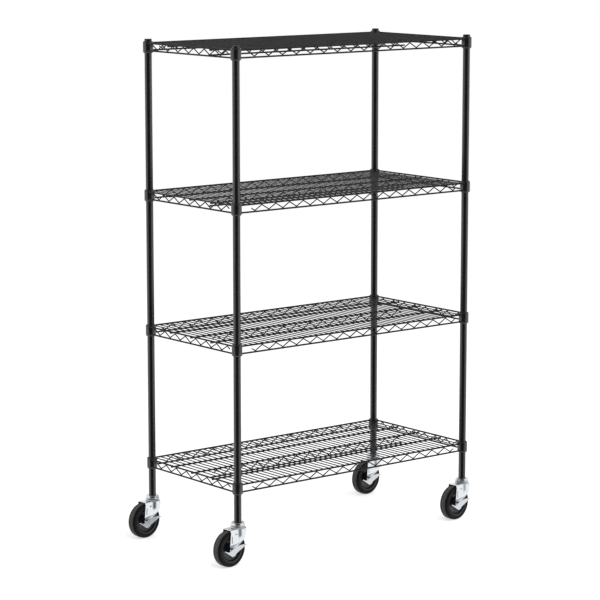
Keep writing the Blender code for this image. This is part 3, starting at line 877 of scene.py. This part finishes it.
def make_materials():
    """One finish for each slot of the record."""
    finishes = {}

    coat = Finish("coated_wire", Specular_IOR_Level=0.22)
    coat.mottle(coat.noise(45), (0.004, 0.004, 0.0042), (0.008, 0.008, 0.0082))
    coat.roughness(coat.noise(120), 0.34, 0.46)
    coat.bump(coat.noise(650, detail=2.0), distance=0.00012, strength=0.6)
    finishes["coated_wire"] = coat.material

    tube = Finish("coated_tube", Specular_IOR_Level=1.0)
    tube.mottle(tube.noise(30), (0.004, 0.004, 0.0042), (0.007, 0.007, 0.0074))
    tube.roughness(tube.noise(90), 0.22, 0.30)
    tube.bump(tube.noise(500, detail=2.0), distance=0.0001, strength=0.5)
    finishes["coated_tube"] = tube.material

    cap = Finish("cap_plastic")
    cap.mottle(cap.noise(80), (0.010, 0.010, 0.010), (0.018, 0.018, 0.018))
    cap.roughness(cap.noise(160), 0.42, 0.55)
    cap.bump(cap.noise(1400, detail=1.0), distance=0.0001, strength=0.6)
    finishes["cap_plastic"] = cap.material

    sleeve = Finish("sleeve_plastic")
    sleeve.mottle(sleeve.noise(60), (0.011, 0.011, 0.011), (0.02, 0.02, 0.02))
    sleeve.roughness(sleeve.noise(140), 0.48, 0.62)
    sleeve.bump(sleeve.noise(1200, detail=1.0), distance=0.00012, strength=0.6)
    finishes["sleeve_plastic"] = sleeve.material

    zinc = Finish("zinc", Metallic=1.0)
    zinc.colour(
        zinc.cells(420), (0.0, (0.74, 0.78, 0.82)), (0.5, (0.82, 0.85, 0.88)), (1.0, (0.88, 0.90, 0.92))
    )
    zinc.roughness(zinc.noise(60, detail=4.0), 0.12, 0.20)
    zinc.bump(zinc.noise(900, detail=2.0, place=zinc.stretched((1, 1, 0.12))), distance=0.00002, strength=0.3)
    finishes["zinc"] = zinc.material

    steel = Finish("steel", Metallic=1.0)
    steel.mottle(steel.noise(150), (0.50, 0.51, 0.53), (0.66, 0.67, 0.69))
    steel.roughness(steel.noise(120, detail=4.0), 0.26, 0.42)
    steel.bump(steel.noise(1100, detail=2.0), distance=0.00006, strength=0.5)
    finishes["steel"] = steel.material

    hub = Finish("hub_plastic")
    hub.mottle(hub.noise(70), (0.0035, 0.0048, 0.0075), (0.006, 0.008, 0.012))
    hub.roughness(hub.noise(150), 0.24, 0.34)
    hub.bump(hub.noise(1000, detail=1.0), distance=0.00012, strength=0.5)
    finishes["hub_plastic"] = hub.material

    rubber = Finish("rubber", Specular_IOR_Level=0.12)
    # The lighter band on the tread and the lighter ring by the bead are painted highlights; the sidewall
    # between stays dark and is darkest just inside the tread.
    rubber.colour(
        rubber.radius(TYRE_BEAD, WHEEL_RADIUS, rubber.noise(140, detail=4.0), spread=0.0012),
        (0.0, (0.080, 0.082, 0.092)),
        (0.09, (0.085, 0.086, 0.096)),
        (0.16, (0.007, 0.0068, 0.0066)),
        (0.55, (0.011, 0.0104, 0.010)),
        (0.88, (0.004, 0.0038, 0.0037)),
        (0.95, (0.008, 0.0076, 0.0073)),
        (0.98, (0.060, 0.057, 0.055)),
        (1.0, (0.078, 0.075, 0.072)),
    )
    rubber.roughness(rubber.noise(90), 0.46, 0.62)
    rubber.bump(rubber.noise(260, detail=4.0), distance=0.0003, strength=0.35)
    rubber.bump(rubber.noise(1500, detail=1.0), distance=0.0001, strength=0.5)
    finishes["rubber"] = rubber.material
    return finishes


# Pieces


def add_piece(name, mesh, matrix, body, slot, *nodes):
    """Put a piece on its body in place of its CAD nodes."""
    thing = bpy.data.objects.new(name, mesh)
    bpy.context.scene.collection.objects.link(thing)
    if not mesh.materials:
        mesh.materials.append(finishes[slot])
    thing.matrix_world = matrix
    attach(thing, body)
    if nodes:
        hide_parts(*nodes)


def keep_node(node, slot):
    """Show a CAD node as it is, with a better finish."""
    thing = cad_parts[node]
    for place in thing.material_slots:
        place.material = finishes[slot]
    if not thing.material_slots:
        thing.data.materials.append(finishes[slot])


def build_frame_pieces():
    """Shelves, posts, caps and sleeves."""
    shelf = shelf_mesh()
    collars = collars_mesh()
    sleeve = sleeve_mesh()
    post = post_mesh()
    cap = cap_mesh()
    for level in LEVELS:
        spot = Matrix.Translation(shelf_centre + Z * deck_height[level])
        add_piece(f"shelf_{level}_welded_wire", shelf, spot, "frame", "coated_wire", f"shelf_{level}")
        add_piece(f"shelf_{level}_collars", collars, spot, "frame", "coated_tube")
    for corner in CORNERS:
        axis = post_axis[corner]
        spot = Matrix.Translation(axis + Z * post_foot)
        add_piece(f"post_{corner}_grooved_tube", post, spot, "frame", "coated_tube", f"post_{corner}")
        spot = Matrix.Translation(axis + Z * post_head)
        add_piece(f"post_cap_{corner}_moulded", cap, spot, "frame", "cap_plastic", f"post_cap_{corner}")
        for level in LEVELS:
            spot = Matrix.Translation(axis + Z * deck_height[level])
            node = f"sleeve_{corner}_{level}"
            add_piece(f"{node}_split", sleeve, spot, "frame", "sleeve_plastic", node)


def build_caster_pieces():
    """Swivel casters."""
    cup = cup_mesh()
    race = race_mesh()
    gap_shade = gap_shade_mesh()
    fork = fork_mesh()
    hub = hub_mesh()
    tyre = tyre_mesh()
    nut = nut_mesh()
    pedal = pedal_mesh()
    across = Matrix.Rotation(math.pi / 2, 4, "X")
    for corner in CORNERS:
        turned = Matrix.Translation(post_axis[corner]) @ Matrix.Rotation(caster_yaw, 4, "Z")
        hinge = turned @ Matrix.Translation((-caster_trail, 0, axle_height))
        upper = Matrix.Translation(post_axis[corner] + Z * cup_foot)
        lower = turned @ Matrix.Translation(Z * fork_top)
        swivel = f"swivel_{corner}"
        wheel = f"wheel_{corner}"
        brake = f"brake_{corner}"
        hub_node = f"wheel_hub_{corner}"
        pedal_node = f"brake_pedal_{corner}"
        add_piece(f"swivel_cup_{corner}_pressed", cup, upper, "frame", "zinc", f"swivel_cup_{corner}")
        add_piece(f"fork_{corner}_race", race, lower, swivel, "zinc")
        # A dark ring between the races paints the bearing gap's shade.
        add_piece(f"fork_{corner}_painted_gap_shade", gap_shade, lower, swivel, "cap_plastic")
        add_piece(f"fork_{corner}_stamped", fork, turned, swivel, "zinc", f"fork_{corner}")
        add_piece(f"axle_nut_{corner}_hex", nut, hinge @ across, swivel, "steel", f"axle_nut_{corner}")
        add_piece(f"{hub_node}_dished", hub, hinge @ across, wheel, "hub_plastic", hub_node)
        add_piece(f"tyre_{corner}_moulded", tyre, hinge @ across, wheel, "rubber", f"tyre_{corner}")
        add_piece(f"{pedal_node}_plate", pedal, hinge, brake, "zinc", pedal_node)
        keep_node(f"caster_stem_{corner}", "zinc")
        keep_node(f"axle_bolt_{corner}", "steel")


# Studio


def build_floor():
    """Wide pale floor that runs out to white and keeps a soft contact shadow."""
    bm = bmesh.new()
    ends = ((-1, -1), (1, -1), (1, 1), (-1, 1))
    bm.faces.new([bm.verts.new((x * FLOOR_HALF, y * FLOOR_HALF, 0)) for x, y in ends])
    mesh = bpy.data.meshes.new("floor")
    bm.to_mesh(mesh)
    bm.free()
    floor = bpy.data.objects.new("floor", mesh)
    bpy.context.scene.collection.objects.link(floor)
    material = bpy.data.materials.new("floor_white")
    material.use_nodes = True
    shader = material.node_tree.nodes["Principled BSDF"]
    shader.inputs["Base Color"].default_value = (FLOOR_TONE, FLOOR_TONE, FLOOR_TONE, 1)
    shader.inputs["Roughness"].default_value = 1.0
    shader.inputs["Specular IOR Level"].default_value = 0.0
    shader.inputs["Emission Color"].default_value = (1, 1, 1, 1)
    tree = material.node_tree
    seen = tree.nodes.new("ShaderNodeMath")
    seen.operation = "MULTIPLY"
    seen.inputs[1].default_value = FLOOR_GLOW
    tree.links.new(tree.nodes.new("ShaderNodeLightPath").outputs["Is Camera Ray"], seen.inputs[0])
    tree.links.new(seen.outputs["Value"], shader.inputs["Emission Strength"])
    mesh.materials.append(material)
    floor.visible_glossy = False


def build_world():
    """White surroundings: reflections see a dimmer sky and a dark card on the photograph's side."""
    world = bpy.data.worlds.new("studio")
    bpy.context.scene.world = world
    world.use_nodes = True
    nodes = world.node_tree.nodes
    links = world.node_tree.links
    nodes.clear()

    def background(strength):
        node = nodes.new("ShaderNodeBackground")
        node.inputs["Color"].default_value = (1, 1, 1, 1)
        node.inputs["Strength"].default_value = strength
        return node

    def mix(factor, one, two):
        node = nodes.new("ShaderNodeMixShader")
        links.new(factor, node.inputs["Fac"])
        links.new(one.outputs[0], node.inputs[1])
        links.new(two.outputs[0], node.inputs[2])
        return node

    towards = nodes.new("ShaderNodeVectorMath")
    towards.operation = "DOT_PRODUCT"
    place = nodes.new("ShaderNodeTexCoord").outputs["Generated"]
    links.new(place, towards.inputs[0])
    towards.inputs[1].default_value = (-math.sin(CAMERA_YAW), -math.cos(CAMERA_YAW), 0)
    card = nodes.new("ShaderNodeMapRange")
    card.interpolation_type = "SMOOTHSTEP"
    card.inputs["From Min"].default_value = math.cos(CARD_OUTER)
    card.inputs["From Max"].default_value = math.cos(CARD_INNER)
    links.new(towards.outputs["Value"], card.inputs["Value"])
    height = nodes.new("ShaderNodeSeparateXYZ")
    links.new(place, height.inputs[0])
    sky = nodes.new("ShaderNodeMapRange")
    sky.inputs["From Min"].default_value = SKY_FROM
    sky.inputs["From Max"].default_value = SKY_TO
    sky.inputs["To Min"].default_value = SKY_LOW_TONE
    sky.inputs["To Max"].default_value = SKY_HIGH_TONE
    links.new(height.outputs["Z"], sky.inputs["Value"])
    room = background(1.0)
    links.new(sky.outputs["Result"], room.inputs["Strength"])
    mirrored_room = mix(card.outputs["Result"], room, background(CARD_TONE))
    path = nodes.new("ShaderNodeLightPath")
    lit = mix(path.outputs["Is Glossy Ray"], background(ROOM_LIGHT), mirrored_room)
    shown = mix(path.outputs["Is Camera Ray"], lit, background(1.0))
    links.new(shown.outputs[0], nodes.new("ShaderNodeOutputWorld").inputs["Surface"])


def add_lamp(name, place, size, power):
    """A soft rectangular lamp aimed at the middle of the cart."""
    lamp = bpy.data.lights.new(name, "AREA")
    lamp.shape = "RECTANGLE"
    lamp.size, lamp.size_y = size
    lamp.energy = power
    thing = bpy.data.objects.new(name, lamp)
    bpy.context.scene.collection.objects.link(thing)
    thing.location = place
    thing.visible_glossy = False
    thing.rotation_euler = (Vector(LAMP_TARGET) - Vector(place)).to_track_quat("-Z", "Y").to_euler()


def build_camera():
    """Camera at the photograph's place."""
    data = bpy.data.cameras.new("camera")
    data.lens = CAMERA_LENS
    data.sensor_width = CAMERA_SENSOR
    data.clip_end = CAMERA_CLIP
    camera = bpy.data.objects.new("camera", data)
    bpy.context.scene.collection.objects.link(camera)
    camera.location = CAMERA_PLACE
    camera.rotation_euler = (math.pi / 2 - CAMERA_PITCH, 0, -CAMERA_YAW)
    bpy.context.scene.camera = camera


finishes = make_materials()
build_frame_pieces()
build_caster_pieces()
build_floor()
build_world()
for lamp in LAMPS:
    add_lamp(*lamp)
build_camera()
bpy.context.scene.view_settings.view_transform = "Standard"
